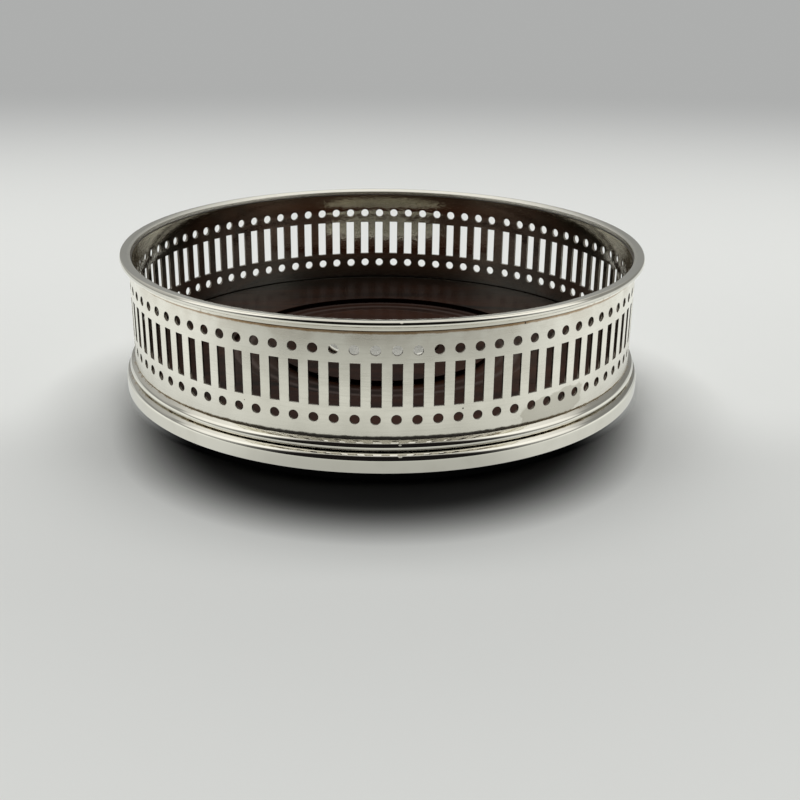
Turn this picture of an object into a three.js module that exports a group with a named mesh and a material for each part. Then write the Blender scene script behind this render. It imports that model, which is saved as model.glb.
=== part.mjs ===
// Bottle coaster: a pierced metal gallery between a reeded rim and a stepped foot, round a turned base.
// Millimetres, +Z up. The origin is the centre of the pad's underside, where the coaster stands.
import * as THREE from 'three';
import { mergeGeometries, mergeVertices } from 'three/addons/utils/BufferGeometryUtils.js';

// Gallery: each pitch has one upright slot with a round hole above it and one below it.
const bandOuterRadius = 62;
const bandWall = 0.7;
const slotWidth = 2.2;
const slotHeight = 9.55;
const barWidth = 2.18;
const holeDiameter = 2.05;
const holeWeb = 1.785;
const plainAbove = 3.11;
const plainBelow = 3.12;
const firstSlotDegrees = 1.76;

// Rim moulding: a small reed, a groove, a rounded crown that overhangs, and a lower bead on the inner edge.
const rimReedRadius = 0.45;
const rimReedReach = 1.2;
const rimGroove = 0.25;
const crownRadius = 0.75;
const crownReach = 2.2;
const rimBeadRadius = 0.6;
const rimBeadDrop = 0.3;
const rimBeadSeat = 0.3;

// Foot: a rounded reed on the gallery, above a skirt with a rounded shoulder and a turned-in lip.
const reedRadius = 1.35;
const reedReach = 1.15;
const skirtReach = 2.3;
const skirtWall = 0.8;
const shoulderRadius = 1.2;
const skirtHemRadius = 0.4;
const lipWidth = 2.7;
const footLift = 1.2;

// Turned base: a flange held in the skirt and a plug inside the gallery, with a ring channel in its top.
const woodFlangeThickness = 2.45;
const woodPlugHeight = 3.45;
const woodEdgeChamfer = 0.4;
const channelWidth = 10.5;
const channelDepth = 1.2;
const plateauWidth = 13.4;

// Boss, its fixing and the pad
const bossRadius = 14.4;
const bossRise = 0.8;
const bossRecess = 0.5;
const bossEdgeRadius = 0.45;
const bossDome = 0.15;
const studRadius = 1.9;
const washerRadius = 4.4;
const washerThickness = 0.6;
const nutAcrossFlats = 7;
const nutThickness = 2;
const nutRecess = 0.3;
const fixingRoom = 0.6;
const baizeSink = 0.2;

// Fits and facets. A radial fit also allows for the flats of a faceted ring.
const seatGap = 0.1;
const ringSegments = 44;
const fixingSegments = 20;
const holeSides = 8;

// Worked out from the sizes above: the piercing pattern, then radii, then heights from the table up
const radialGap = seatGap + bandOuterRadius * (1 - Math.cos(Math.PI / ringSegments));
const pitchLength = Math.max(slotWidth, holeDiameter) + barWidth;
const pitchCount = Math.round((2 * Math.PI * bandOuterRadius) / pitchLength);
const pitchAngle = (2 * Math.PI) / pitchCount;
const holeRadius = holeDiameter / 2;
const holeOffset = slotHeight / 2 + holeWeb + holeRadius;

const bandInnerRadius = bandOuterRadius - bandWall;
const skirtOuterRadius = bandOuterRadius + skirtReach;
const skirtInnerRadius = skirtOuterRadius - skirtWall;
const lipInnerRadius = skirtOuterRadius - lipWidth;

const baizeTop = footLift + baizeSink;
const woodBottom = baizeTop + seatGap;
const lipTop = footLift + skirtWall;
const flangeBottom = lipTop + seatGap;
const flangeTop = flangeBottom + woodFlangeThickness;
const woodTop = flangeTop + woodPlugHeight;
const skirtTop = flangeTop + seatGap + skirtWall;
const reedBottom = skirtTop + seatGap;
const reedTop = reedBottom + 2 * reedRadius;
const slotCentre = reedTop + plainBelow + holeRadius + holeOffset;
const rimBottom = slotCentre + holeOffset + holeRadius + plainAbove;
const crownBottom = rimBottom + 2 * rimReedRadius + rimGroove;
const rimTop = crownBottom + 2 * crownRadius;
const beadCentre = rimTop - rimBeadDrop - rimBeadRadius;
const rebateTop = beadCentre - rimBeadSeat;

const bossSeat = woodTop - bossRecess;
const nutBottom = woodBottom + nutRecess;
const washerBottom = nutBottom + nutThickness + seatGap;
const counterboreTop = washerBottom + washerThickness + seatGap;

const silver = { color: 0xd9d6c8, roughness: 0.18, metalness: 1 };
const scratchedSilver = { color: 0xcfcdc2, roughness: 0.26, metalness: 1 };
const brass = { color: 0xb08d4f, roughness: 0.4, metalness: 1 };
const mahogany = { color: 0x3a2119, roughness: 0.32, metalness: 0 };
const greenBaize = { color: 0x1f4a2c, roughness: 0.95, metalness: 0 };

// Points along an arc of the section plane (radius, height), in degrees from straight outwards
function arc(centreRadius, centreHeight, radius, fromDegrees, toDegrees, steps) {
  const points = [];
  for (let i = 0; i <= steps; i += 1) {
    const angle = THREE.MathUtils.degToRad(fromDegrees + ((toDegrees - fromDegrees) * i) / steps);
    points.push([centreRadius + radius * Math.cos(angle), centreHeight + radius * Math.sin(angle)]);
  }
  return points;
}

// Turns an anticlockwise section about +Z. A section off the axis closes on its first point.
function turned(section, segments) {
  const onAxis = section[0][0] === 0;
  const loop = onAxis ? section : [...section, section[0]];
  const points = loop.map(([radius, height]) => new THREE.Vector2(radius, height));
  const geometry = new THREE.LatheGeometry(points, segments);
  geometry.rotateX(Math.PI / 2);
  return geometry;
}

// Corners of an upright rectangle in a flat panel, anticlockwise: across the panel, then up it
function rectangle(halfWidth, low, high) {
  return [
    new THREE.Vector2(-halfWidth, low),
    new THREE.Vector2(halfWidth, low),
    new THREE.Vector2(halfWidth, high),
    new THREE.Vector2(-halfWidth, high),
  ];
}

// The slot and the two holes of one pitch, each a clockwise loop in the panel
function piercings() {
  const slot = rectangle(slotWidth / 2, slotCentre - slotHeight / 2, slotCentre + slotHeight / 2);
  const loops = [slot.reverse()];
  for (const height of [slotCentre - holeOffset, slotCentre + holeOffset]) {
    const hole = [];
    for (let i = 0; i < holeSides; i += 1) {
      const angle = (-2 * Math.PI * (i + 0.5)) / holeSides;
      hole.push(new THREE.Vector2(holeRadius * Math.cos(angle), height + holeRadius * Math.sin(angle)));
    }
    loops.push(hole);
  }
  return loops;
}

// One pitch of the strip, facing +X: a pierced outer and inner flat joined by the walls of every loop.
// The panel's two upright edges stay open, because the next panels continue there.
function galleryPanel(low, high) {
  const holes = piercings();
  const positions = [];
  const outlines = [];
  for (const radius of [bandOuterRadius, bandInnerRadius]) {
    const flat = radius * Math.cos(pitchAngle / 2);
    const outline = rectangle(radius * Math.sin(pitchAngle / 2), low, high);
    outlines.push(outline);
    for (const point of [outline, ...holes].flat()) {
      positions.push(flat, point.x, point.y);
    }
  }
  const inner = positions.length / 6;
  const index = [];
  for (const [a, b, c] of THREE.ShapeUtils.triangulateShape(outlines[0], holes)) {
    index.push(a, b, c, inner + c, inner + b, inner + a);
  }
  let start = 0;
  for (const loop of [outlines[0], ...holes]) {
    for (let i = 0; i < loop.length; i += 1) {
      const here = start + i;
      const next = start + ((i + 1) % loop.length);
      const isOpenEdge = start === 0 && i % 2 === 1;
      if (!isOpenEdge) index.push(here, inner + here, inner + next, here, inner + next, next);
    }
    start += loop.length;
  }
  const geometry = new THREE.BufferGeometry();
  geometry.setAttribute('position', new THREE.Float32BufferAttribute(positions, 3));
  geometry.setIndex(index);
  return geometry;
}

// The pierced strip closed into a ring of one flat panel for each pitch
function galleryBand() {
  const panel = galleryPanel(reedBottom, rebateTop - seatGap);
  const firstSlot = THREE.MathUtils.degToRad(firstSlotDegrees);
  const panels = [];
  for (let i = 0; i < pitchCount; i += 1) {
    panels.push(panel.clone().rotateZ(firstSlot + i * pitchAngle));
  }
  const ring = mergeVertices(mergeGeometries(panels));
  ring.computeVertexNormals();
  return ring;
}

// The rim sits over the gallery's top edge in a rebate.
function rimMoulding() {
  const reedCentreRadius = bandOuterRadius + rimReedReach - rimReedRadius;
  const crownCentreRadius = bandOuterRadius + crownReach - crownRadius;
  const beadCentreRadius = bandInnerRadius + rimBeadRadius;
  const rebateRadius = bandOuterRadius + radialGap;
  const section = [
    [rebateRadius, rimBottom],
    ...arc(reedCentreRadius, rimBottom + rimReedRadius, rimReedRadius, -90, 90, 3),
    ...arc(crownCentreRadius, crownBottom + crownRadius, crownRadius, -90, 90, 5),
    ...arc(beadCentreRadius, beadCentre, rimBeadRadius, 60, 180, 3),
    [bandInnerRadius, rebateTop],
    [rebateRadius, rebateTop],
  ];
  return turned(section, ringSegments);
}

// The reed's flat back lies against the gallery, outside the centre of its curve.
function footReed() {
  const curveRadius = bandOuterRadius + reedReach - reedRadius;
  const seatRadius = bandOuterRadius + radialGap;
  const halfAngle = THREE.MathUtils.radToDeg(Math.acos((seatRadius - curveRadius) / reedRadius));
  const curve = arc(curveRadius, reedBottom + reedRadius, reedRadius, -halfAngle, halfAngle, 6);
  return turned(curve, ringSegments);
}

// A channel section open inwards: a flange under the gallery, the skirt, and a lip under the wood.
function footSkirt() {
  const shoulderCentreRadius = skirtOuterRadius - shoulderRadius;
  const hemCentreRadius = skirtOuterRadius - skirtHemRadius;
  const section = [
    [lipInnerRadius, footLift],
    ...arc(hemCentreRadius, footLift + skirtHemRadius, skirtHemRadius, -90, 0, 2),
    ...arc(shoulderCentreRadius, skirtTop - shoulderRadius, shoulderRadius, 0, 90, 4),
    [bandInnerRadius, skirtTop],
    [bandInnerRadius, skirtTop - skirtWall],
    [skirtInnerRadius, skirtTop - skirtWall],
    [skirtInnerRadius, lipTop],
    [lipInnerRadius, lipTop],
  ];
  return turned(section, ringSegments);
}

// The base is drilled for the stud, counterbored below for its nut and recessed above for the boss.
function woodBase() {
  const plugRadius = bandInnerRadius - radialGap;
  const flangeRadius = skirtInnerRadius - radialGap;
  const spigotRadius = lipInnerRadius - radialGap;
  const recessRadius = bossRadius + radialGap;
  const plateauRadius = bossRadius + plateauWidth;
  const channelRadius = plateauRadius + channelWidth;
  const counterboreRadius = washerRadius + fixingRoom;
  const drilledRadius = studRadius + fixingRoom;
  const section = [
    [counterboreRadius, woodBottom],
    [spigotRadius, woodBottom],
    [spigotRadius, flangeBottom],
    [flangeRadius, flangeBottom],
    [flangeRadius, flangeTop],
    [plugRadius, flangeTop],
    [plugRadius, woodTop - woodEdgeChamfer],
    [plugRadius - woodEdgeChamfer, woodTop],
    [channelRadius, woodTop],
    [channelRadius, woodTop - channelDepth],
    [plateauRadius, woodTop - channelDepth],
    [plateauRadius, woodTop],
    [recessRadius, woodTop],
    [recessRadius, bossSeat],
    [drilledRadius, bossSeat],
    [drilledRadius, counterboreTop],
    [counterboreRadius, counterboreTop],
  ];
  return turned(section, ringSegments);
}

// A plain disc with a rounded edge and a slightly domed face
function boss() {
  const underside = bossSeat + seatGap;
  const edgeTop = woodTop + bossRise;
  const section = [
    [0, underside],
    [bossRadius, underside],
    ...arc(bossRadius - bossEdgeRadius, edgeTop - bossEdgeRadius, bossEdgeRadius, 0, 90, 2),
    [0, edgeTop + bossDome],
  ];
  return turned(section, ringSegments);
}

function bossStud() {
  const section = [
    [0, nutBottom],
    [studRadius, nutBottom],
    [studRadius, bossSeat],
    [0, bossSeat],
  ];
  return turned(section, fixingSegments);
}

function bossWasher() {
  const boreRadius = studRadius + radialGap;
  const section = [
    [boreRadius, washerBottom],
    [washerRadius, washerBottom],
    [washerRadius, washerBottom + washerThickness],
    [boreRadius, washerBottom + washerThickness],
  ];
  return turned(section, fixingSegments);
}

function bossNut() {
  const cornerRadius = nutAcrossFlats / Math.sqrt(3);
  const corners = [];
  for (let i = 0; i < 6; i += 1) {
    const angle = (i * Math.PI) / 3;
    corners.push(new THREE.Vector2(cornerRadius * Math.cos(angle), cornerRadius * Math.sin(angle)));
  }
  const outline = new THREE.Shape(corners);
  const bore = new THREE.Path();
  bore.absarc(0, 0, studRadius + radialGap, 0, 2 * Math.PI, true);
  outline.holes.push(bore);
  const settings = { depth: nutThickness, bevelEnabled: false, curveSegments: fixingSegments };
  const geometry = new THREE.ExtrudeGeometry(outline, settings);
  geometry.translate(0, 0, nutBottom);
  return geometry;
}

function baizePad() {
  const padRadius = lipInnerRadius - radialGap;
  const section = [
    [0, 0],
    [padRadius, 0],
    [padRadius, baizeTop],
    [0, baizeTop],
  ];
  return turned(section, ringSegments);
}

const coaster = new THREE.Group();

function place(name, geometry, finish) {
  const mesh = new THREE.Mesh(geometry, new THREE.MeshStandardMaterial(finish));
  mesh.name = name;
  coaster.add(mesh);
}

place('gallery_band', galleryBand(), silver);
place('rim_moulding', rimMoulding(), silver);
place('foot_reed', footReed(), silver);
place('foot_skirt', footSkirt(), silver);
place('wood_base', woodBase(), mahogany);
place('boss', boss(), scratchedSilver);
place('boss_stud', bossStud(), brass);
place('boss_washer', bossWasher(), brass);
place('boss_nut', bossNut(), brass);
place('baize_pad', baizePad(), greenBaize);

export default coaster;
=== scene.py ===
import math

import bpy
import numpy as np
from mathutils import Matrix


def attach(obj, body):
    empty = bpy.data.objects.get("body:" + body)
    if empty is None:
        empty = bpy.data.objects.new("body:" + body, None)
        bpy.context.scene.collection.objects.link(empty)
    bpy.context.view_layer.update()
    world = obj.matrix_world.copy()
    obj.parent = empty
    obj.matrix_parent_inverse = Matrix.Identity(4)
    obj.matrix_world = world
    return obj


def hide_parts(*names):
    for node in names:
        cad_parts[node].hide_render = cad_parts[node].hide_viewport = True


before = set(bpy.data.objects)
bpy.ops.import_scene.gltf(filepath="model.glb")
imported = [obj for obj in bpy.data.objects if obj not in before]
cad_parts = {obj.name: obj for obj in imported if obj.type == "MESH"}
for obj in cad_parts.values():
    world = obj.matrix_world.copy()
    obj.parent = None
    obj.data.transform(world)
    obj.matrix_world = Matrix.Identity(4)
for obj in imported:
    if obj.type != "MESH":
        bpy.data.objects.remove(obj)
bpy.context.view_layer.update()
print("frame loaded:", ", ".join(sorted(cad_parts)))

mm = 0.001
scene = bpy.context.scene
scene.view_settings.view_transform = "Standard"


# shader values and finishes

class Tone:
    # one shader value; arithmetic on it adds Math nodes to its finish
    def __init__(self, finish, socket):
        self.finish = finish
        self.socket = socket

    def out(self, name):
        return Tone(self.finish, self.socket.node.outputs[name])

    def math(self, operation, *values):
        return self.finish.add("ShaderNodeMath", {"operation": operation}, dict(enumerate(values)))

    def __add__(self, other):
        return self.math("ADD", self, other)

    def __sub__(self, other):
        return self.math("SUBTRACT", self, other)

    def __rsub__(self, other):
        return self.math("SUBTRACT", other, self)

    def __mul__(self, other):
        return self.math("MULTIPLY", self, other)

    def __truediv__(self, other):
        return self.math("DIVIDE", self, other)

    def __rtruediv__(self, other):
        return self.math("DIVIDE", other, self)

    def __pow__(self, other):
        return self.math("POWER", self, other)

    def __neg__(self):
        return self.math("MULTIPLY", self, -1.0)

    __radd__ = __add__
    __rmul__ = __mul__

    def size(self):
        return self.math("ABSOLUTE", self)

    def most(self, other):
        return self.math("MAXIMUM", self, other)

    def least(self, other):
        return self.math("MINIMUM", self, other)

    def fade(self, low, high):
        # 0 at low, 1 at high, eased between
        ends = {"Value": self, "From Min": low, "From Max": high}
        return self.finish.add("ShaderNodeMapRange", {"interpolation_type": "SMOOTHSTEP"}, ends)

    def hump(self, centre, width):
        # 1 at centre, 0 beyond width on either side
        return 1 - (self - centre).size().fade(0.0, width)


class Finish:
    # a node tree; add() makes any node from its type, its settings and its inputs
    def __init__(self, name, owner=None):
        self.owner = owner or bpy.data.materials.new(name)
        self.owner.use_nodes = True
        self.tree = self.owner.node_tree
        self.tree.nodes.clear()

    def add(self, kind, settings=None, inputs=None, output=0):
        node = self.tree.nodes.new(kind)
        for key, value in (settings or {}).items():
            setattr(node, key, value)
        for key, value in (inputs or {}).items():
            socket = node.inputs[key]
            if isinstance(value, Tone):
                self.tree.links.new(value.socket, socket)
            else:
                socket.default_value = value
        return Tone(self, node.outputs[output]) if len(node.outputs) else None

    def millimetres(self):
        # object coordinates in millimetres
        place = self.add("ShaderNodeTexCoord", output="Object")
        return self.add("ShaderNodeVectorMath", {"operation": "SCALE"}, {0: place, "Scale": 1000.0})

    def split(self, vector):
        x = self.add("ShaderNodeSeparateXYZ", inputs={0: vector})
        return x, x.out("Y"), x.out("Z")

    def stretch(self, vector, x, y, z):
        return self.add("ShaderNodeVectorMath", {"operation": "MULTIPLY"}, {0: vector, 1: (x, y, z)})

    def noise(self, vector, scale, detail=2.0, roughness=0.5, warp=0.0):
        inputs = {"Vector": vector, "Scale": scale, "Detail": detail}
        inputs.update({"Roughness": roughness, "Distortion": warp})
        return self.add("ShaderNodeTexNoise", inputs=inputs)

    def rings(self, radius, scale):
        # uneven rings round the axis, as a lathe leaves them
        inputs = {"W": radius * scale, "Scale": 1.0, "Detail": 3.0}
        return self.add("ShaderNodeTexNoise", {"noise_dimensions": "1D"}, inputs)

    def blend(self, amount, one, other):
        # colour mixed from one to other by amount
        return self.add("ShaderNodeMix", {"data_type": "RGBA"}, {0: amount, 6: one, 7: other}, 2)

    def bump(self, height, distance, strength=1.0, under=None):
        inputs = {"Height": height, "Distance": distance, "Strength": strength}
        if under is not None:
            inputs["Normal"] = under
        return self.add("ShaderNodeBump", inputs=inputs)

    def surface(self, inputs):
        shader = self.add("ShaderNodeBsdfPrincipled", inputs=inputs)
        self.add("ShaderNodeOutputMaterial", inputs={"Surface": shader})
        return self.owner


# meshes

def arcPoints(centre, radius, fromDegrees, toDegrees, count):
    # points of a circle in the section plane: radius across, height up
    angle = np.radians(np.linspace(fromDegrees, toDegrees, count))
    return np.stack([centre[0] + radius * np.cos(angle), centre[1] + radius * np.sin(angle)], 1)


def bentLine(start, bends):
    # section points walked down from start; each bend turns the outward direction, in degrees above level,
    # from one angle to another over a length in so many steps
    turn = np.radians(np.concatenate([np.linspace(a, b, 2 * n + 1)[1::2] for a, b, length, n in bends]))
    step = np.concatenate([np.full(n, length / n) for a, b, length, n in bends])
    walk = np.cumsum(np.stack([np.sin(turn) * step, -np.cos(turn) * step], 1), 0)
    return np.concatenate([[start], start + walk])


def joinSection(*parts):
    return np.concatenate([np.asarray(part, float).reshape(-1, 2) for part in parts])


def weld(points, quads, normals=None):
    # points that share a place become one; quads that lose a side become triangles
    first, index = np.unique(np.round(points, 7), axis=0, return_index=True, return_inverse=True)[1:]
    quads = index.reshape(-1)[quads]
    startPole = quads[:, 0] == quads[:, 1]
    endPole = quads[:, 2] == quads[:, 3]
    faces = quads[~(startPole | endPole)].tolist()
    faces += quads[startPole & ~endPole][:, [0, 2, 3]].tolist()
    faces += quads[endPole & ~startPole][:, [0, 1, 2]].tolist()
    return points[first], faces, None if normals is None else normals[first]


def gridQuads(rows, columns, closedRows, closedColumns):
    # quads of a grid whose points lie row after row; rows run round the axis
    row = np.arange(rows if closedRows else rows - 1)
    column = np.arange(columns if closedColumns else columns - 1)
    row, column = (part.ravel() for part in np.meshgrid(row, column, indexing="ij"))
    nextRow, nextColumn = (row + 1) % rows, (column + 1) % columns
    corners = [(row, column), (nextRow, column), (nextRow, nextColumn), (row, nextColumn)]
    return np.stack([r * columns + c for r, c in corners], 1)


def turnedSurface(section, steps, closed, wave=None):
    # a section (radius, height) carried round the axis: x = r cos a, y = r sin a, z = h;
    # wave(angle, section) returns small changes of radius and height
    angle = np.linspace(0.0, 2.0 * np.pi, steps, endpoint=False)[:, None]
    radius = np.broadcast_to(section[:, 0], (steps, len(section)))
    height = np.broadcast_to(section[:, 1], (steps, len(section)))
    if wave is not None:
        deltaRadius, deltaHeight = wave(angle, section)
        radius, height = radius + deltaRadius, height + deltaHeight
    points = np.stack([radius * np.cos(angle), radius * np.sin(angle), height], -1).reshape(-1, 3)
    return points, gridQuads(steps, len(section), True, closed)


def putPiece(name, points, faces, finish, node, normals=None, sharpDegrees=40):
    mesh = bpy.data.meshes.new(name)
    mesh.from_pydata((points * mm).tolist(), [], faces)
    mesh.polygons.foreach_set("use_smooth", np.ones(len(mesh.polygons), bool))
    mesh.validate()
    mesh.update()
    if normals is None:
        mesh.set_sharp_from_angle(angle=math.radians(sharpDegrees))
    else:
        mesh.normals_split_custom_set_from_vertices(normals.tolist())
    mesh.materials.append(finish)
    piece = bpy.data.objects.new(name, mesh)
    scene.collection.objects.link(piece)
    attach(piece, "root")
    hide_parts(node)
    print(name, "made:", len(mesh.vertices), "points,", len(mesh.polygons), "faces")
    return piece


# finishes of the metal

silver = {
    "colour": (0.90, 0.872, 0.785, 1.0),
    "dull": (0.64, 0.612, 0.53, 1.0),
    "brown": (0.36, 0.235, 0.125, 1.0),  # thin tarnish
    "olive": (0.66, 0.57, 0.36, 1.0),  # tarnish inside, below the rim
    "grimeAndShade": (0.030, 0.021, 0.013, 1.0),  # old polish in the crevices, near black as painted shade where it lies in front
    "crust": (0.42, 0.29, 0.13, 1.0),  # the same dirt at the sides, thin and brown, without the painted shade
    "sawn": (0.115, 0.098, 0.078, 1.0),  # unpolished walls of the piercings
    "outsideRoughness": 0.24,
    "insideRoughness": 0.05,
    "sideShade": (0.40, 0.392, 0.362, 1.0),  # painted shade: the tops of the mouldings greyer at the left and right
    "wireRoughness": 0.02,
}

marks = {
    "stainDegrees": (-61.8, -44.6),
    "stainHeights": (7.4, 13.8),
    "stainDepth": (0.85, 0.15),  # of the stain itself and of its border
    "specks": ((-74.3, 14.2, 0.22), (-61.6, 31.2, 0.25), (-118.0, 13.9, 0.16)),  # degrees, height and size
    "rimLine": 31.7,  # brown tarnish lies under this height, with dirt and painted shade along it
    "reedLine": 8.32,  # dirt and painted shade lie over the reed up to this height
    "ledge": (32.9, 32.98),  # dark edge inside the rim: dirt and painted shade
    "crustBelow": (20.0, 22.0),  # dirt and painted shade turn to brown crust at the sides only under these heights
    "oliveFrom": (26.5, 30.0),  # tarnish inside grows over these heights
    "squigglesFrom": (28.0, 29.5),  # and the inner face gets more uneven over these
}


def ringCoordinates(finish):
    # place in millimetres, its three parts and the distance from the axis
    place = finish.millimetres()
    x, y, z = finish.split(place)
    return place, x, y, z, (x * x + y * y) ** 0.5


def galleryFinish(settings, shape, spots):
    # polished strip: satin outside, mirror inside, dull sawn walls, dirt and painted shade at rim and reed,
    # one dried stain
    finish = Finish("gallery_silver")
    place, x, y, z, radius = ringCoordinates(finish)
    angle = x.math("ARCTAN2", y, x) * (180.0 / math.pi)
    outer, inner = shape["outerRadius"], shape["outerRadius"] - shape["wall"]
    face = radius.fade(outer - 0.09, outer - 0.03)
    inside = 1 - radius.fade(inner + 0.02, inner + 0.07)
    sawn = (1 - face) * (1 - inside)
    cloud = finish.noise(place, 0.16, 3.0)
    grain = finish.noise(finish.stretch(place, 0.12, 0.12, 3.4), 1.0, 3.0, 0.65)
    fine = finish.noise(place, 2.4, 3.0, 0.7)
    hair = (finish.noise(place, 0.21, 1.0, 0.5, 1.5) - 0.5).size()
    hairline = (1 - hair.fade(0.0, 0.0035)) * fine.fade(0.4, 0.6) * face

    # dried stain over the lower holes, with a wavy border
    fromDegrees, toDegrees = spots["stainDegrees"]
    low, high = spots["stainHeights"]
    middle = (fromDegrees + toDegrees) / 2
    wavy = finish.noise(finish.stretch(place, 1.0, 1.0, 2.0), 0.33, 3.0, 0.6) * 5.2 - 2.6
    across = ((angle + wavy * 0.9 - middle) / ((toDegrees - fromDegrees) / 2)).size()
    upright = ((z + wavy * 0.55 - (angle - middle) * 0.16 - (low + high) / 2) / ((high - low) / 2)).size()
    reach = (across ** 4.0 + upright ** 4.0) ** 0.25
    stain = (1 - reach.fade(0.93, 1.0)) * face
    border = reach.hump(0.97, 0.09) * face

    # brown tarnish under the rim; dirt over the reed and under the rim, near black in front as painted shade
    # and a thin brown crust at the sides
    creep = finish.noise(finish.stretch(place, 1.0, 1.0, 0.6), 0.55, 4.0, 0.65)
    side = (x / outer).size().fade(0.3, 0.9)
    below = spots["rimLine"] - z
    brown = (1 - (below - creep * 0.5).fade(0.2, 0.6)) * face
    haze = (1 - below.fade(0.3, 5.0)) * cloud.fade(0.35, 0.65) * face
    grimeAndShade = (1 - (z - spots["reedLine"] + side * 0.4 - creep * 0.7).fade(-0.2, 0.22)) * face
    grimeAndShade = grimeAndShade.most((1 - (below - creep * 0.25).fade(-0.05, 0.2)) * face * 0.75)
    grimeAndShade = grimeAndShade.most(z.fade(*spots["ledge"]))
    for speckDegrees, speckHeight, speckSize in spots["specks"]:
        aside = (angle - speckDegrees) * math.radians(outer)
        away = (aside * aside + (z - speckHeight) ** 2.0) ** 0.5
        grimeAndShade = grimeAndShade.most((1 - away.fade(speckSize * 0.5, speckSize)) * face)
    crust = side * (1 - z.fade(*spots["crustBelow"]))
    dirtAndShadeColour = finish.blend(crust, settings["grimeAndShade"], settings["crust"])

    colour = finish.blend(cloud.fade(0.35, 0.75) * 0.22, settings["colour"], settings["dull"])
    colour = finish.blend(grain.fade(0.45, 0.85) * 0.25 + hairline * 0.2, colour, settings["dull"])
    stainDepth, borderDepth = spots["stainDepth"]
    colour = finish.blend(stain * stainDepth + border * borderDepth, colour, settings["dull"])
    colour = finish.blend(haze * 0.16 + brown * (0.9 - side * 0.3), colour, settings["brown"])
    colour = finish.blend(inside * 0.35, colour, settings["dull"])
    colour = finish.blend(inside * z.fade(*spots["oliveFrom"]) * 0.45, colour, settings["olive"])
    colour = finish.blend(sawn, colour, settings["sawn"])
    colour = finish.blend(grimeAndShade * 0.95, colour, dirtAndShadeColour)

    outside = settings["outsideRoughness"]
    rough = inside * (settings["insideRoughness"] - outside) + outside
    rough = rough * ((grain - 0.5) * 0.5 + (cloud - 0.5) * 0.5 + 1.0)
    rough = rough + stain * 0.06 + sawn * 0.15 + grimeAndShade * 0.3
    hammered = finish.noise(finish.stretch(place, 1.0, 1.0, 1.4), 0.36, 3.0, 0.6)
    squiggles = finish.noise(finish.stretch(place, 1.0, 1.0, 1.6), 1.2, 2.0, 0.5, 1.2)
    uneven = hammered + squiggles * (z.fade(*spots["squigglesFrom"]) * 0.3 + 0.15)
    waves = finish.bump(uneven * inside, 0.00003, 1.0)
    scratches = finish.bump(grain * 0.7 + fine * 0.3, 0.000012, 0.4, waves)
    return finish.surface({
        "Base Color": colour, "Metallic": 1 - grimeAndShade * 0.7, "Roughness": rough, "Normal": scratches,
    })


def wireFinish(settings, name, crevices, sideShade):
    # drawn mouldings: bright, with dirt and painted shade held near the given (radius, height, reach)
    # corners, and painted shade of the given depth, greyer at the sides above a height
    finish = Finish(name)
    place, x, _, z, radius = ringCoordinates(finish)
    cloud = finish.noise(place, 0.2, 3.0)
    fine = finish.noise(finish.stretch(place, 0.03, 0.03, 5.0), 1.1, 3.0, 0.65)
    creep = finish.noise(place, 0.7, 4.0, 0.65)
    patchy = finish.noise(place, 0.07, 2.0).fade(0.3, 0.7) * 0.9 + 0.7
    patchy = patchy + (x / 64.0).size().fade(0.45, 0.95) * 0.9
    aside = (x / 62.0).size()

    # dirt and painted shade get thin and specked towards the sides, where the dirt is brown
    dirtAndShade = cloud * 0.0
    for cornerRadius, cornerHeight, reach in crevices:
        away = ((radius - cornerRadius) ** 2.0 + (z - cornerHeight) ** 2.0) ** 0.5
        dirtAndShade = dirtAndShade.most(1 - (away / patchy - creep * reach * 1.3).fade(-0.25 * reach, 0.45 * reach))
    side = aside.fade(0.35, 0.75)
    dirtAndShade = dirtAndShade * (1 - side * (1 - creep.fade(0.5, 0.6) * 0.5))
    sideShadeFrom, sideShadeDepth = sideShade
    # painted shade: the tops greyer towards the left and right sides
    paintedDimming = aside.fade(0.45, 0.95) * z.fade(sideShadeFrom - 0.15, sideShadeFrom + 0.15) * sideShadeDepth
    worn = (1 - radius.fade(61.9, 62.5)) * z.fade(33.0, 33.2)  # the rim's inner edge, rubbed by bottles

    colour = finish.blend(cloud.fade(0.4, 0.8) * 0.2, settings["colour"], settings["dull"])
    colour = finish.blend(paintedDimming, colour, settings["sideShade"])
    colour = finish.blend(dirtAndShade, colour, finish.blend(side, settings["grimeAndShade"], settings["crust"]))
    rough = ((fine - 0.5) * 0.6 + (cloud - 0.5) * 0.5 + 1.0) * settings["wireRoughness"]
    rough = rough + dirtAndShade * 0.3 + paintedDimming * 0.08 + worn * 0.16
    relief = finish.bump(fine * 0.6 + cloud * 0.4, 0.000004, 0.3)
    return finish.surface({
        "Base Color": colour, "Metallic": 1 - dirtAndShade * 0.6, "Roughness": rough, "Normal": relief,
    })


# pierced gallery

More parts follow.
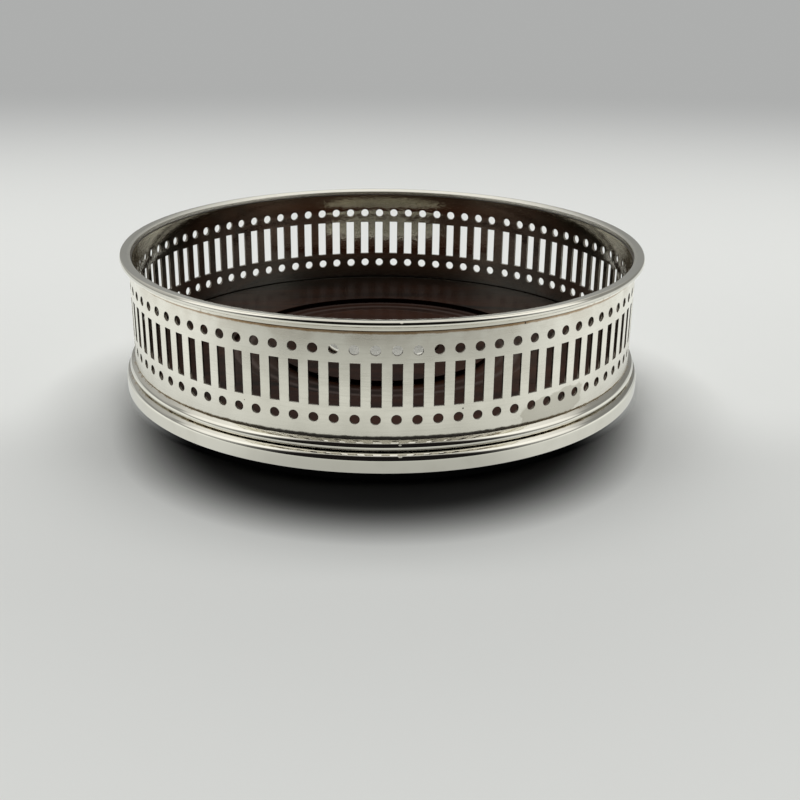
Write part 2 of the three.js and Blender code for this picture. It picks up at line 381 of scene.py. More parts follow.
gallery = {
    "outerRadius": 62.0,
    "wall": 0.55,
    "bottom": 5.57,
    "top": 33.05,
    "pitches": 89,
    "afterSeamDegrees": 58.73,  # first pitch past the soldered seam, counted anticlockwise from +X
    "seamGapDegrees": 0.564,  # how much wider the gap at the seam is than the others
    "unevenDegrees": 0.179,  # pitches lie a little wider at the sides than in front and at the back
    "slotCentre": 19.98,
    "slotWidth": 2.2,
    "slotHeight": 9.55,
    "slotAside": 0.14,  # slots lie a little anticlockwise of the holes
    "holeDiameter": 2.16,
    "holeOffset": 7.585,
    "edgeRound": 0.07,
    "sideSteps": 5,  # points on each side of a piercing's cell
    "handTremor": 0.03,  # how far piercings stray, in millimetres
    "sizeTremor": 0.012,  # and how much they differ in size, as a part of it
    "cellMargin": 1.5,  # from a hole's middle to the plain metal beyond
    "seeds": (11, 12, 13),  # of the lower holes, the slots and the upper holes
    "leanHeights": (27.0, 28.6, 29.2, 32.05, 33.05),  # the inner face leans in towards the rim,
    "leanSlopes": (0.0, 0.125, 0.094, 0.042, 0.023),  # by these slopes
    "leanShare": 0.74,  # part of the slopes that the metal itself follows
}


def galleryAngles(settings):
    # middle of every pitch from the seam round, and the limits half way between pitches
    count = settings["pitches"]
    gap = settings["seamGapDegrees"]
    middles = np.radians(settings["afterSeamDegrees"] + np.arange(count) * (360.0 - gap) / count)
    middles = middles + math.radians(settings["unevenDegrees"]) * np.sin(2.0 * middles)
    around = np.concatenate([[middles[-1] - 2.0 * np.pi], middles, [middles[0] + 2.0 * np.pi]])
    return middles, 0.5 * (around[:-1] + around[1:])


def innerLean(settings, height):
    # how far the inner face leans in at a height, by adding up the slopes below it, and its slope there
    heights, slopes = np.array(settings["leanHeights"]), np.array(settings["leanSlopes"])
    sums = np.concatenate([[0.0], np.cumsum(np.diff(heights) * (slopes[1:] + slopes[:-1]) / 2)])
    return np.interp(height, heights, sums) * settings["leanShare"], np.interp(height, heights, slopes)


def cellOutline(steps):
    # points round a square from its lower left corner, and the direction into the opening at each
    part = np.arange(steps) / steps
    one = np.ones(steps)
    across = np.concatenate([2 * part - 1, one, 1 - 2 * part, -one])
    up = np.concatenate([-one, 2 * part - 1, one, 1 - 2 * part])
    inward = -np.stack([(np.abs(across) > 0.999) * across, (np.abs(up) > 0.999) * up], 1)
    return np.stack([across, up], 1), inward / np.linalg.norm(inward, axis=1)[:, None]


def piercedCells(settings, low, high, middle, halfWidth, halfHeight, isRound, seed, aside=0.0):
    # each pitch's frame of metal round one opening: the outline is carried from the cell's limit on the
    # outer face to the opening, through the wall and back to the limit on the inner face
    outer, wall, soft = settings["outerRadius"], settings["wall"], settings["edgeRound"]
    steps = settings["sideSteps"]
    cell, inward = cellOutline(steps)
    opening = cell
    if isRound:
        turn = np.radians(-135.0 + 360.0 * np.arange(4 * steps) / (4 * steps))
        opening = np.stack([np.cos(turn), np.sin(turn)], 1)
        inward = -opening
    half = 1.0 - math.sqrt(0.5)
    grow = np.array([soft, soft * half, 0.0, 0.0, soft * half, soft])
    depth = np.array([0.0, soft * half, soft, wall - soft, wall - soft * half, wall])
    faceTilt = np.array([1.0, math.sqrt(0.5), 0.0, 0.0, -math.sqrt(0.5), -1.0])
    middles, limits = galleryAngles(settings)
    count = settings["pitches"]
    chance = np.random.default_rng(seed)
    stray = chance.normal(0.0, settings["handTremor"], (count, 2)) + (aside, 0.0)
    scale = (1.0 + chance.normal(0.0, settings["sizeTremor"], count))[:, None, None]
    strayAcross, strayUp = stray.T[:, :, None, None]

    edgeAcross = (halfWidth + grow)[None, :, None] * opening[:, 0] * scale + strayAcross
    edgeUp = (halfHeight + grow)[None, :, None] * opening[:, 1] * scale + strayUp
    edgeAngle = middles[:, None, None] + edgeAcross / outer
    edgeHeight = edgeUp + middle
    cellAngle = limits[:-1, None] + np.diff(limits)[:, None] * (cell[:, 0] + 1) / 2
    cellAngle = cellAngle[:, None, :]
    cellHeight = np.broadcast_to((low + (high - low) * (cell[:, 1] + 1) / 2), cellAngle.shape)
    angle = np.concatenate([cellAngle, edgeAngle, cellAngle], 1)
    height = np.concatenate([cellHeight, edgeHeight, cellHeight], 1)
    depth = np.concatenate([[0.0], depth, [wall]])[None, :, None]
    lean, slope = innerLean(settings, height)
    radius = outer - depth - lean * depth / wall
    points = np.stack([radius * np.cos(angle), radius * np.sin(angle), height], -1)

    tilt = np.concatenate([[1.0], faceTilt, [-1.0]])[None, :, None]
    level = np.sqrt(1.0 - tilt ** 2)
    tangent = level * inward[:, 0]
    normals = np.stack([
        tilt * np.cos(angle) - tangent * np.sin(angle),
        tilt * np.sin(angle) + tangent * np.cos(angle),
        level * inward[:, 1] + np.minimum(tilt, 0.0) * slope,
    ], -1)
    rows, around = angle.shape[1:]
    quads = gridQuads(rows, around, False, True)[:, [0, 3, 2, 1]]
    quads = quads[None] + (np.arange(count) * rows * around)[:, None, None]
    return points.reshape(-1, 3), quads.reshape(-1, 4), normals.reshape(-1, 3)


def plainStrip(settings, heights, edgeHeight, up):
    # plain metal beyond the piercings: a U section carried round the same angles as the cells
    outer, wall, soft = settings["outerRadius"], settings["wall"], settings["edgeRound"]
    limits = galleryAngles(settings)[1]
    steps = settings["sideSteps"]
    angle = (limits[:-1, None] + np.diff(limits)[:, None] * np.arange(steps) / steps).ravel()
    turn = np.radians(np.linspace(0.0, 90.0, 4))
    rounded = outer - soft + soft * np.cos(turn), edgeHeight - up * soft * (1 - np.sin(turn))
    radius = np.concatenate([np.full(len(heights), outer), rounded[0]])
    height = np.concatenate([heights, rounded[1]])
    radial = np.concatenate([np.ones(len(heights)), np.cos(turn)])
    axial = np.concatenate([np.zeros(len(heights)), up * np.sin(turn)])
    mirror = slice(None, None, -1)
    lean, slope = innerLean(settings, height[mirror])
    radius = np.concatenate([radius, 2 * outer - wall - radius[mirror] - lean])
    height = np.concatenate([height, height[mirror]])
    axial = np.concatenate([axial, axial[mirror] - radial[mirror] * slope])
    radial = np.concatenate([radial, -radial[mirror]])
    shape = (len(angle), len(radius))
    cos, sin = np.cos(angle)[:, None], np.sin(angle)[:, None]
    points = np.stack([radius * cos, radius * sin, np.broadcast_to(height, shape)], -1)
    normals = np.stack([radial * cos, radial * sin, np.broadcast_to(axial, shape)], -1)
    quads = gridQuads(shape[0], shape[1], True, False)
    if up < 0:
        quads = quads[:, ::-1]
    return points.reshape(-1, 3), quads, normals.reshape(-1, 3)


def makeGallery(settings):
    slotCentre, offset = settings["slotCentre"], settings["holeOffset"]
    hole, slotHalf = settings["holeDiameter"] / 2, settings["slotHeight"] / 2
    bottom, top = settings["bottom"], settings["top"]
    web = (slotHalf + offset - hole) / 2
    lowHoles, highHoles = slotCentre - offset, slotCentre + offset
    lowest, lowWeb = lowHoles - settings["cellMargin"], slotCentre - web
    highWeb, highest = slotCentre + web, highHoles + settings["cellMargin"]
    slot = settings["slotWidth"] / 2, slotHalf, False
    lowSeed, slotSeed, highSeed = settings["seeds"]
    parts = [
        piercedCells(settings, lowest, lowWeb, lowHoles, hole, hole, True, lowSeed),
        piercedCells(settings, lowWeb, highWeb, slotCentre, *slot, slotSeed, settings["slotAside"]),
        piercedCells(settings, highWeb, highest, highHoles, hole, hole, True, highSeed),
        plainStrip(settings, np.linspace(lowest, bottom + 0.3, 4), bottom, -1),
        plainStrip(settings, np.linspace(highest, top - 0.3, 8), top, 1),
    ]
    starts = np.cumsum([0] + [len(part[0]) for part in parts[:-1]])
    points = np.concatenate([part[0] for part in parts])
    normals = np.concatenate([part[2] for part in parts])
    quads = np.concatenate([part[1] + start for part, start in zip(parts, starts)])
    points, faces, normals = weld(points, quads, normals)
    finish = galleryFinish(silver, settings, marks)
    return putPiece("gallery", points, faces, finish, "gallery_band", normals)


# mouldings of rim and foot

bentWire = {
    "steps": 360,
    "tremor": 0.048,  # how far a moulding strays, in millimetres
    "jointDegrees": -86.6,  # where the mouldings' ends are soldered together
    "dropFlatness": 0.42,  # thickness of a drop of solder as a part of its length
}


def handWave(seed, sags):
    # slow uneven waves of a bent wire, and wide hollows where it droops
    chance = np.random.default_rng(seed)
    turns = np.arange(3, 16)
    phase = chance.uniform(0.0, 2.0 * np.pi, (2, len(turns)))

    def wave(angle, section):
        waves = np.sin(angle[..., None] * turns + phase[:, None, None]) / turns ** 0.5
        slow = -np.abs(waves.mean(-1)) * bentWire["tremor"]
        hollows = [depth * np.clip(np.cos(angle - math.radians(at)), 0.0, 1.0) ** 8 for at, depth in sags]
        return slow[0], slow[1] - sum(hollows)
    return wave


def withDrops(points, quads, drops):
    # small ellipsoids of solder set into a moulding: out, along and up by the sines and cosines of two angles
    angle, flatness = math.radians(bentWire["jointDegrees"]), bentWire["dropFlatness"]
    rise = np.radians(np.linspace(-90.0, 90.0, 9))[:, None]
    turn = np.radians(np.arange(0.0, 360.0, 30.0))
    dropQuads = gridQuads(9, 12, False, True)[:, [0, 3, 2, 1]]
    for radius, height, size in drops:
        out = radius + flatness * size * np.cos(rise) * np.cos(turn)
        along = size * np.cos(rise) * np.sin(turn)
        up = height + flatness * size * np.sin(rise) + np.zeros(12)
        x = out * math.cos(angle) - along * math.sin(angle)
        y = out * math.sin(angle) + along * math.cos(angle)
        quads = np.concatenate([quads, dropQuads + len(points)])
        points = np.concatenate([points, np.stack([x, y, up], -1).reshape(-1, 3)])
    return weld(points, quads)[:2]


def putMoulding(name, node, settings, section):
    wave = handWave(settings["seed"], settings["sags"])
    points, quads = turnedSurface(section, bentWire["steps"], True, wave)
    points, faces = withDrops(points, quads, settings["drops"])
    finish = wireFinish(silver, name + "_silver", settings["crevices"], settings["sideShade"])
    return putPiece(name, points, faces, finish, node)


# in these three, crevices hold (radius, height, reach), drops (radius, height, size), sideShade (height,
# depth) of painted shade at the sides, sags (degrees, depth), and bends (from degrees, to degrees, length,
# steps)

rim = {
    "filletTop": (62.72, 32.74),
    "filletBends": ((30, 0, 0.16, 4), (0, -4, 0.58, 4), (-60, -90, 0.75, 8)),
    "crownTop": (63.49, 34.35),
    "crownInner": ((63.40, 34.343), (63.28, 34.328)),  # from there the top falls away inwards
    "crownBends": ((90, 29, 0.50, 12), (29, 7, 0.56, 6), (-4, -112, 1.70, 18)),
    "lip": ((61.62, 33.848), 0.22),  # middle and radius of the rounded inner edge
    "rebateTop": 33.14,
    "crevices": ((62.1, 31.9, 0.40), (62.74, 32.78, 0.12)),
    "sideShade": (32.9, 0.45),
    "drops": ((63.98, 34.02, 0.30),),
    "sags": ((-145.0, 0.32), (-35.0, 0.11)),
    "seed": 3,
}


def makeRim(settings):
    lipMiddle, lipRadius = settings["lip"]
    section = joinSection(
        bentLine(settings["filletTop"], settings["filletBends"])[::-1],
        bentLine(settings["crownTop"], settings["crownBends"])[::-1],
        settings["crownInner"],
        arcPoints(lipMiddle, lipRadius, 98, 180, 8),
        (lipMiddle[0] - lipRadius, settings["rebateTop"]),
        (gallery["outerRadius"] + 0.02, settings["rebateTop"]),
    )
    return putMoulding("rim", "rim_moulding", settings, section)


reed = {
    "top": (62.01, 8.05),
    "bends": (  # a sloping top, a flatter face and a faint ridge along its front
        (80, 62, 0.20, 5), (61.5, 60.5, 0.08, 3), (60.05, 59.95, 0.84, 12), (45, 32, 0.02, 3),
        (32, 11, 0.98, 6), (-2, -95, 1.90, 20),
    ),
    "crevices": ((62.0, 8.0, 0.22), (62.9, 5.5, 0.40)),
    "sideShade": (7.0, 0.6),
    "drops": ((62.12, 8.02, 0.26), (63.06, 7.16, 0.42)),
    "sags": (),
    "seed": 5,
}


def makeReed(settings):
    section = bentLine(settings["top"], settings["bends"])[::-1]
    return putMoulding("reed", "foot_reed", settings, section)


skirt = {
    "outer": 64.3,
    "wall": 0.8,
    "top": 5.469,
    "footLift": 1.2,
    "shoulderFrom": 63.18,
    "shoulderBends": ((90, 63, 0.10, 4), (61.0, 60.9, 0.70, 12), (50, 32, 0.05, 3), (32, 11, 1.02, 6)),
    "hem": 0.4,
    "lipInner": 61.6,
    "flangeInner": 61.35,
    "crevices": ((62.8, 5.5, 0.36),),
    "sideShade": (4.6, 0.75),
    "drops": ((64.0, 4.92, 0.42),),
    "sags": (),
    "seed": 7,
}


def makeSkirt(settings):
    outer, top, lift = settings["outer"], settings["top"], settings["footLift"]
    wall, hem = settings["wall"], settings["hem"]
    shoulder = bentLine((settings["shoulderFrom"], top), settings["shoulderBends"])[::-1]
    section = joinSection(
        (settings["lipInner"], lift),
        arcPoints((outer - hem, lift + hem), hem, -90, 0, 8),
        np.stack([np.full(6, outer), np.linspace(lift + hem + 0.1, shoulder[0, 1] - 0.04, 6)], 1),
        shoulder,
        (settings["flangeInner"], top),
        (settings["flangeInner"], top - wall),
        (outer - wall, top - wall),
        (outer - wall, lift + wall),
        (settings["lipInner"], lift + wall),
    )
    return putMoulding("skirt", "foot_skirt", settings, section)


# turned base

base = {
    "steps": 240,
    "top": 8.0,
    "plug": 61.2,
    "flange": 63.2,
    "flangeHeights": (2.1, 4.55),
    "spigot": 61.3,
    "bottom": 1.5,
    "edgeRound": 0.45,
    "channelRadii": (27.8, 38.3),
    "channelDepth": 1.2,
    "channelRound": 0.12,
    "channelHighlights": ((31.0, 0.9, 0.45), (34.3, 1.1, 0.8), (37.2, 1.0, 0.8)),  # painted highlights on the channel floor: radius, width and strength
    "bossRecess": (14.62, 7.52),
    "drilled": 2.5,
    "counterbore": (5.0, 4.6),
    "dark": (0.0040, 0.0019, 0.0011, 1.0),
    "warm": (0.0240, 0.0092, 0.0050, 1.0),
    "red": (0.040, 0.0130, 0.0062, 1.0),
    # colour of the painted highlights in the channel
    "ringHighlight": (0.052, 0.037, 0.032, 1.0),
    "polish": 0.16,
}


def woodFinish(settings):
    # dark stained mahogany: long streaks along X, short dark pores, turning marks round the axis, polish
    # over, and painted highlights as pale rings in the channel
    finish = Finish("polished_mahogany")
    place, x, y, z, radius = ringCoordinates(finish)
    sway = finish.noise(finish.stretch(place, 0.012, 0.03, 0.03), 1.0, 2.0)
    board = {0: x * 0.02, 1: y * 0.22 + sway * 2.6, 2: z * 0.22}
    board = finish.add("ShaderNodeCombineXYZ", inputs=board)
    streak = finish.noise(board, 1.0, 5.0, 0.62, 0.4)
    broad = finish.noise(finish.stretch(place, 0.01, 0.06, 0.06), 1.0, 2.0)
    pore = finish.noise(finish.stretch(place, 0.16, 2.6, 2.6), 1.0, 2.0, 0.6)
    pores = pore.fade(0.60, 0.72)
    turning = finish.rings(radius, 3.2)
    colour = finish.blend(streak.fade(0.3, 0.72), settings["dark"], settings["warm"])
    colour = finish.blend(broad.fade(0.45, 0.75) * 0.5, colour, settings["red"])
    colour = finish.blend(pores * 0.55, colour, settings["dark"])
    # painted highlights: pale rings on the channel floor, as lines of reflected light
    for ringRadius, ringWidth, highlightStrength in settings["channelHighlights"]:
        pale = radius.hump(ringRadius, ringWidth) * (turning * 0.8 + 0.6) * (1 - z.fade(7.3, 7.6))
        colour = finish.blend(pale * highlightStrength, colour, settings["ringHighlight"])
    roughness = streak * 0.10 + pores * 0.18 + (turning - 0.5) * 0.08 + 0.30
    marks = finish.bump(turning, 0.00003, 0.35)
    relief = finish.bump(1 - pores, 0.00003, 0.35, marks)
    return finish.surface({
        "Base Color": colour, "Roughness": roughness, "Normal": relief, "Specular IOR Level": 0.02,
        "Coat Weight": 0.04 - pores * 0.02, "Coat Roughness": settings["polish"],
    })


def makeBase(settings):
    top, soft = settings["top"], settings["edgeRound"]
    inner, outer = settings["channelRadii"]
    floor = top - settings["channelDepth"]
    edge = settings["channelRound"]
    low, high = settings["flangeHeights"]
    recess, seat = settings["bossRecess"]
    bore, ledge = settings["counterbore"]
    section = joinSection(
        (bore, settings["bottom"]),
        (settings["spigot"], settings["bottom"]),
        (settings["spigot"], low),
        (settings["flange"], low),
        (settings["flange"], high),
        (settings["plug"], high),
        arcPoints((settings["plug"] - soft, top - soft), soft, 0, 90, 6),
        np.stack([np.linspace(settings["plug"] - 2.0, outer + 2.0, 12), np.full(12, top)], 1),
        arcPoints((outer + edge, top - edge), edge, 90, 180, 6),
        arcPoints((outer - edge, floor + edge), edge, 0, -90, 6),
        np.stack([np.linspace(outer - 1.0, inner + 1.0, 10), np.full(10, floor)], 1),
        arcPoints((inner + edge, floor + edge), edge, -90, -180, 6),
        arcPoints((inner - edge, top - edge), edge, 0, 90, 6),
        np.stack([np.linspace(inner - 1.0, recess + 0.6, 8), np.full(8, top)], 1),
        arcPoints((recess + 0.2, top - 0.2), 0.2, 90, 180, 4),
        (recess, seat),
        (settings["drilled"], seat),
        (settings["drilled"], ledge),
        (bore, ledge),
    )
    points, quads = turnedSurface(section, settings["steps"], True)
    points, faces, _ = weld(points, quads)
    return putPiece("turnedBase", points, faces, woodFinish(settings), "wood_base")


# boss

boss = {
    "steps": 144,
    "radius": 14.4,
    "underside": 7.6,
    "edgeTop": 8.8,
    "edgeRound": 0.45,
    "dome": 0.15,
    "colour": (0.87, 0.86, 0.80, 1.0),
    "worn": (0.52, 0.51, 0.47, 1.0),
    "roughness": 0.24,
}


def bossFinish(settings):
    # silver rubbed by bottle feet: crossing scratches, fine swirls and a soft haze
    finish = Finish("rubbed_silver")
    place, *_, radius = ringCoordinates(finish)
    swirl = finish.noise(place, 0.25, 2.0)
    lines = finish.noise(finish.stretch(place, 0.25, 5.0, 1.0), 1.0, 2.0, 0.6, 0.6)
    crossing = finish.noise(finish.stretch(place, 4.2, 0.3, 1.0), 1.0, 2.0, 0.6, 0.8)
    rings = finish.rings(radius, 4.0)
    scratch = lines.fade(0.60, 0.70).most(crossing.fade(0.61, 0.70))
    colour = finish.blend(scratch * 0.28 + swirl.fade(0.4, 0.8) * 0.2, settings["colour"], settings["worn"])
    roughness = scratch * 0.18 + (swirl - 0.5) * 0.16 + (rings - 0.5) * 0.10 + settings["roughness"]
    relief = finish.bump(rings * 0.4 - scratch * 0.6 + swirl * 1.4, 0.00004, 0.5)
    return finish.surface({"Base Color": colour, "Metallic": 1.0, "Roughness": roughness, "Normal": relief})


def makeBoss(settings):
    # a disc whose face rises by the dome times one minus the square of the way out
    radius, soft, edgeTop = settings["radius"], settings["edgeRound"], settings["edgeTop"]
    out = np.linspace(1.0, 0.0, 16)
    face = np.stack([out * (radius - soft), edgeTop + settings["dome"] * (1 - out ** 2)], 1)
    section = joinSection(
        (0.0, settings["underside"]),
        np.stack([np.linspace(2.0, radius, 8), np.full(8, settings["underside"])], 1),
        arcPoints((radius - soft, edgeTop - soft), soft, 0, 88, 8),
        face,
    )
    points, quads = turnedSurface(section, settings["steps"], False)
    points, faces, _ = weld(points, quads)
    return putPiece("bossDisc", points, faces, bossFinish(settings), "boss")


# pad under the base

pad = {
    "steps": 180,
    "radius": 61.3,
    "top": 1.4,
    "edgeRound": 0.35,
    "nap": 0.05,
    "colour": (0.012, 0.060, 0.024, 1.0),
    "pale": (0.030, 0.115, 0.050, 1.0),
}


def baizeFinish(settings):
    # felted wool: tangled short fibres over a soft mottle
    finish = Finish("green_baize")
    place = finish.millimetres()
    fibre = finish.noise(place, 3.4, 4.0, 0.7, 1.2)
    tangle = finish.noise(finish.stretch(place, 1.0, 2.2, 1.0), 1.5, 3.0, 0.6, 0.8)
    mottle = finish.noise(place, 0.12, 3.0)
    colour = finish.blend(fibre * 0.6 + mottle * 0.4, settings["colour"], settings["pale"])
    relief = finish.bump(fibre * 0.6 + tangle * 0.4, 0.00018, 0.7)
    return finish.surface({
        "Base Color": colour, "Roughness": mottle * 0.1 + 0.88, "Normal": relief, "Sheen Weight": 0.35,
    })


def makePad(settings):
    # a disc with a rounded cut edge, frayed inwards by the nap
    radius, soft, top = settings["radius"], settings["edgeRound"], settings["top"]
    section = joinSection(
        np.stack([np.linspace(0.0, radius - soft - 0.3, 14), np.zeros(14)], 1),
        arcPoints((radius - soft, soft), soft, -90, 0, 7),
        arcPoints((radius - soft, top - soft), soft, 0, 90, 7),
        np.stack([np.linspace(radius - soft - 0.3, 0.0, 14), np.full(14, top)], 1),
    )

    def frayed(angle, section):
        edge = np.clip((section[:, 0] - radius + 2.0) / 2.0, 0.0, 1.0)
        fray = np.sin(angle * 41.0) * np.sin(angle * 23.0 + 1.0) + np.sin(angle * 67.0 + 2.0)
        return -settings["nap"] * edge * np.abs(fray), np.zeros_like(angle)
    points, quads = turnedSurface(section, settings["steps"], False, frayed)
    points, faces, _ = weld(points, quads)
    return putPiece("baizeDisc", points, faces, baizeFinish(settings), "baize_pad")


# hidden brass fixing, which keeps its solids

fixing = {
    "colour": (0.60, 0.42, 0.17, 1.0),
    "dull": (0.21, 0.125, 0.05, 1.0),
    "nodes": ("boss_stud", "boss_washer", "boss_nut"),
}


def brassFinish(settings):
    # dull turned brass with brown patches and tool marks
    finish = Finish("dull_brass")
    place = finish.millimetres()
    patch = finish.noise(place, 0.6, 4.0, 0.6)
    marks = finish.noise(finish.stretch(place, 0.4, 0.4, 9.0), 1.0, 2.0)
    colour = finish.blend(patch.fade(0.4, 0.7), settings["colour"], settings["dull"])
    relief = finish.bump(marks, 0.00003, 0.4)
    return finish.surface({
        "Base Color": colour, "Metallic": 1.0, "Roughness": patch * 0.3 + 0.28, "Normal": relief,
    })


def dressFixing(settings):
    finish = brassFinish(settings)
    for name in settings["nodes"]:
        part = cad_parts[name]
        part.data.materials.clear()
        part.data.materials.append(finish)
    print("fixing dressed:", ", ".join(settings["nodes"]))


# floor, light and camera

studio = {
    "floorColour": (0.80, 0.81, 0.785, 1.0),
    "floorSpecks": (0.70, 0.705, 0.68, 1.0),
    "floorFarColour": (0.42, 0.425, 0.42, 1.0),
    "floorFar": (70.0, 560.0),  # distances behind the object over which the sheet darkens
    "floorPlain": (260.0, 600.0),  # distances over which the lamp's fall-off ends
    "shadowPlace": (0.0, -38.7),  # middle of the painted shadow of the rim and the radii over which it fades
    "shadowRadii": (36.7, 60.0),
    "shadowDepth": 0.962,
    "duskRadii": (60.0, 150.0),  # a faint painted shade round the painted shadow
    "duskDepth": 0.15,
    "gapPaintedShade": (0.001, 0.001, 0.001, 1.0),  # painted shade under the foot in front
    "gapPaintedLight": (0.40, 0.405, 0.39, 1.0),  # painted light under the foot at the sides
    "gapRadii": (63.6, 65.4),
    "floorGlow": (0.86, 0.878, 0.852, 1.0),  # the floor as the metal shows it, at the sides and in front
    "floorFrontGlow": (0.735, 0.75, 0.71, 1.0),
    "glowFront": (50.0, 80.0),
    "glowNear": (66.0, 100.0),  # painted shadow of the object, as the metal shows the floor close to the foot
    "glowDim": (100.0, 150.0),  # painted shade, dimmer farther in front, and dark beyond
    "glowDark": (160.0, 190.0),
    "darkRoom": (0.010, 0.009, 0.009, 1.0),
    "greyRoom": (0.34, 0.345, 0.335, 1.0),
    "paleTop": (0.88, 0.88, 0.85, 1.0),
    "sideLight": (1.08, 1.08, 1.05, 1.0),  # white screens to the left and right
    "leftRoom": (0.58, 0.58, 0.56, 1.0),  # beyond the screens, behind the object
    "rightRoom": (0.30, 0.298, 0.282, 1.0),
    "ceiling": (0.10, 0.092, 0.072, 1.0),  # a dark strip over the front of the object
    "paleBackground": (0.72, 0.725, 0.71, 1.0),
    "fill": (0.004, 0.004, 0.004, 1.0),
    "lampPlace": (0.0, 1.52, 2.4),
    "lampSize": (3.0, 1.8),
    "lampPower": 106.0,
}


def rayKinds(finish):
    # whether the viewer looks straight at it, and whether metal shows it
    seen = finish.add("ShaderNodeLightPath", output="Is Camera Ray")
    shine = seen.out("Is Glossy Ray").most(seen.out("Is Transmission Ray"))
    return seen, shine * (1 - seen.out("Diffuse Depth").least(1.0))


def makeFloor(settings):
    # a wide pale sheet with a painted shadow; metal shows it bright but for painted shade near the foot and a
    # darker front
    finish = Finish("pale_floor")
    place, x, y, _, away = ringCoordinates(finish)
    camera, glossy = rayKinds(finish)
    dark = settings["darkRoom"]

    # the sheet with a painted shadow in front of the object, in the colour of the dark room
    far = y.fade(*settings["floorFar"])
    speck = finish.noise(finish.stretch(place, 1.0, 1.0, 0.0), 0.05, 4.0)
    colour = finish.blend(far, settings["floorColour"], settings["floorFarColour"])
    colour = finish.blend((speck - 0.5).size() * 0.1, colour, settings["floorSpecks"])
    aside = (x - settings["shadowPlace"][0]) * 0.91
    along = y - settings["shadowPlace"][1]
    fromShadow = (aside * aside + along * along) ** 0.5
    shade = 1 - fromShadow.fade(*settings["shadowRadii"])
    dusk = (1 - fromShadow.fade(*settings["duskRadii"])) * (-y).fade(20.0, 60.0) * settings["duskDepth"]
    colour = finish.blend((shade * settings["shadowDepth"]).most(dusk), colour, dark)
    sheet = {"Base Color": colour, "Roughness": 1.0, "Specular IOR Level": 0.0}
    seen = finish.add("ShaderNodeBsdfPrincipled", inputs=sheet)

    # what the metal shows of it, with painted shade near the foot and farther in front
    ahead = -y / away.most(1.0)  # 1 straight in front of the object, 0 at its sides
    front = (-y).fade(*settings["glowFront"]) * (1 - (x / 170.0).size().fade(0.3, 1.0))
    glow = finish.blend(front, settings["floorGlow"], settings["floorFrontGlow"])
    reflectedShadow = (1 - away.fade(*settings["glowNear"])) * (ahead.fade(0.80, 0.96) * 0.18 + 0.27)
    glow = finish.blend(reflectedShadow, glow, dark)
    paintedDimming = away.fade(*settings["glowDim"]) * ahead.fade(0.25, 0.95) * 0.40
    glow = finish.blend(paintedDimming.most((-y).fade(*settings["glowDark"])), glow, dark)

    # what the viewer sees far off, and in the gap under the foot a glow of painted light at the sides and
    # painted shade in front
    plain = finish.blend(far, settings["paleBackground"], settings["floorFarColour"])
    beside = (x / 64.3).size().fade(0.6, 1.0) ** 2.0
    gap = finish.blend(beside, settings["gapPaintedShade"], settings["gapPaintedLight"])
    farOff = camera * away.fade(*settings["floorPlain"])
    under = camera * (1 - away.fade(*settings["gapRadii"]))
    for amount, light in ((glossy, glow), (farOff, plain), (under, gap)):
        light = finish.add("ShaderNodeEmission", inputs={"Color": light})
        seen = finish.add("ShaderNodeMixShader", inputs={0: amount, 1: seen, 2: light})
    finish.add("ShaderNodeOutputMaterial", inputs={"Surface": seen})

    mesh = bpy.data.meshes.new("floorSheet")
    corner = np.array([[-1, -1, 0], [1, -1, 0], [1, 1, 0], [-1, 1, 0]]) * 4.0 + (0.0, 0.0, -0.00004)
    mesh.from_pydata(corner.tolist(), [], [[0, 1, 2, 3]])
    mesh.materials.append(finish.owner)
    floor = bpy.data.objects.new("floorSheet", mesh)
    scene.collection.objects.link(floor)
    print("floor made")


def makeWorld(settings):
    # the studio as the metal shows it: pale overhead, grey walls, dark behind the viewer
    world = bpy.data.worlds.new("studio")
    scene.world = world
    finish = Finish("studio", world)
    x, y, z = finish.split(finish.add("ShaderNodeTexCoord", output="Generated"))
    camera, glossy = rayKinds(finish)
    front = (-y).fade(0.25, 0.8)
    walls = finish.blend(front, settings["greyRoom"], settings["darkRoom"])
    room = finish.blend((z - front * 0.22).fade(0.34, 0.50), walls, settings["paleTop"])

    # white screens at the sides, which start higher up towards the front
    turn = -y / ((x * x + y * y) ** 0.5).most(0.01)  # 1 in front, 0 at the sides, -1 behind
    lower = turn.most(0.0) ** 2.0 * 0.5
    screens = (z - lower).fade(0.06, 0.18) * (1 - z.fade(0.7, 0.85))
    screens = screens * turn.fade(-0.15, 0.05) * (1 - turn.fade(0.6, 0.95))
    room = finish.blend(screens, room, settings["sideLight"])

    # the dimmer room behind the screens, and a dark strip overhead
    behind = (-turn).fade(0.08, 0.3) * (1 - (-turn).fade(0.8, 0.95))
    behind = behind * z.fade(0.05, 0.2) * (1 - z.fade(0.58, 0.74)) * 0.9
    dusky = finish.blend(x.fade(-0.3, 0.3), settings["leftRoom"], settings["rightRoom"])
    room = finish.blend(behind, room, dusky)
    strip = (-y).fade(0.0, 0.04) * (1 - (-y).fade(0.16, 0.30)) * z.fade(0.5, 0.9)
    room = finish.blend(strip, room, settings["ceiling"])

    backdrop = finish.blend(y.fade(0.3, 0.9), settings["paleBackground"], settings["floorFarColour"])
    colour = finish.blend(camera, finish.blend(glossy, settings["fill"], room), backdrop)
    shade = finish.add("ShaderNodeBackground", inputs={"Color": colour, "Strength": 1.0})
    finish.add("ShaderNodeOutputWorld", inputs={"Surface": shade})
    print("studio made")


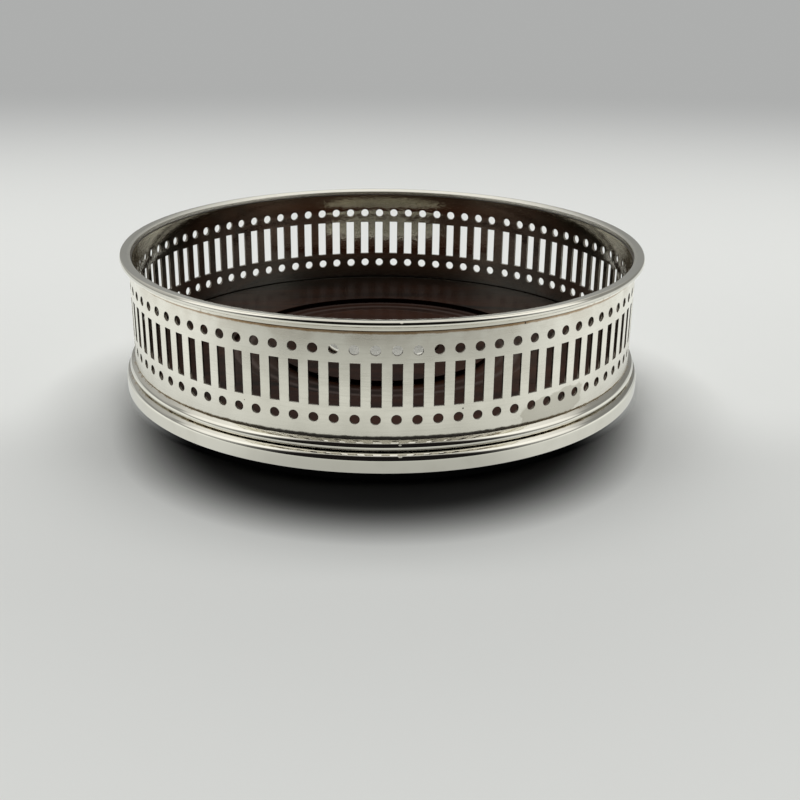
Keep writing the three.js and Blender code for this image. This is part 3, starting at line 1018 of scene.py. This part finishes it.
def makeLamp(settings):
    lamp = bpy.data.lights.new("softLamp", "AREA")
    lamp.shape = "RECTANGLE"
    lamp.size, lamp.size_y = settings["lampSize"]
    lamp.energy = settings["lampPower"]
    holder = bpy.data.objects.new("softLamp", lamp)
    scene.collection.objects.link(holder)
    holder.visible_glossy = False  # the pale top of the studio is what the metal shows
    back = np.array(settings["lampPlace"]) / np.linalg.norm(settings["lampPlace"])
    right = np.cross((0.0, 0.0, 1.0), back)
    right = right / np.linalg.norm(right)
    placeBy(holder, right, np.cross(back, right), back, settings["lampPlace"])
    print("light made")


def placeBy(thing, right, up, back, place):
    # columns of the turning are the object's own axes
    turn = np.eye(4)
    turn[:3, 0], turn[:3, 1], turn[:3, 2], turn[:3, 3] = right, up, back, place
    thing.matrix_world = Matrix(turn.tolist())


viewer = {
    "place": (0.0, -0.284322, 0.106463),
    "yaw": 0.016359,
    "pitch": 0.382852,
    "roll": 0.011256,
    "focalPixels": 1170.46,
    "imagePixels": 800,
}


def makeCamera(settings):
    camera = bpy.data.cameras.new("viewer")
    camera.sensor_width = 36.0
    camera.lens = settings["focalPixels"] / settings["imagePixels"] * camera.sensor_width
    camera.clip_start, camera.clip_end = 0.01, 20.0
    holder = bpy.data.objects.new("viewer", camera)
    scene.collection.objects.link(holder)
    yaw, pitch, roll = settings["yaw"], settings["pitch"], settings["roll"]
    ahead = np.array([math.sin(yaw) * math.cos(pitch), math.cos(yaw) * math.cos(pitch), -math.sin(pitch)])
    level = np.array([math.cos(yaw), -math.sin(yaw), 0.0])
    upright = np.cross(level, ahead)
    right = math.cos(roll) * level + math.sin(roll) * upright
    up = math.cos(roll) * upright - math.sin(roll) * level
    placeBy(holder, right, up, -ahead, settings["place"])
    scene.camera = holder
    print("camera made")


makeCamera(viewer)
makeFloor(studio)
makeWorld(studio)
makeLamp(studio)
makeGallery(gallery)
makeRim(rim)
makeReed(reed)
makeSkirt(skirt)
makeBase(base)
makeBoss(boss)
makePad(pad)
dressFixing(fixing)
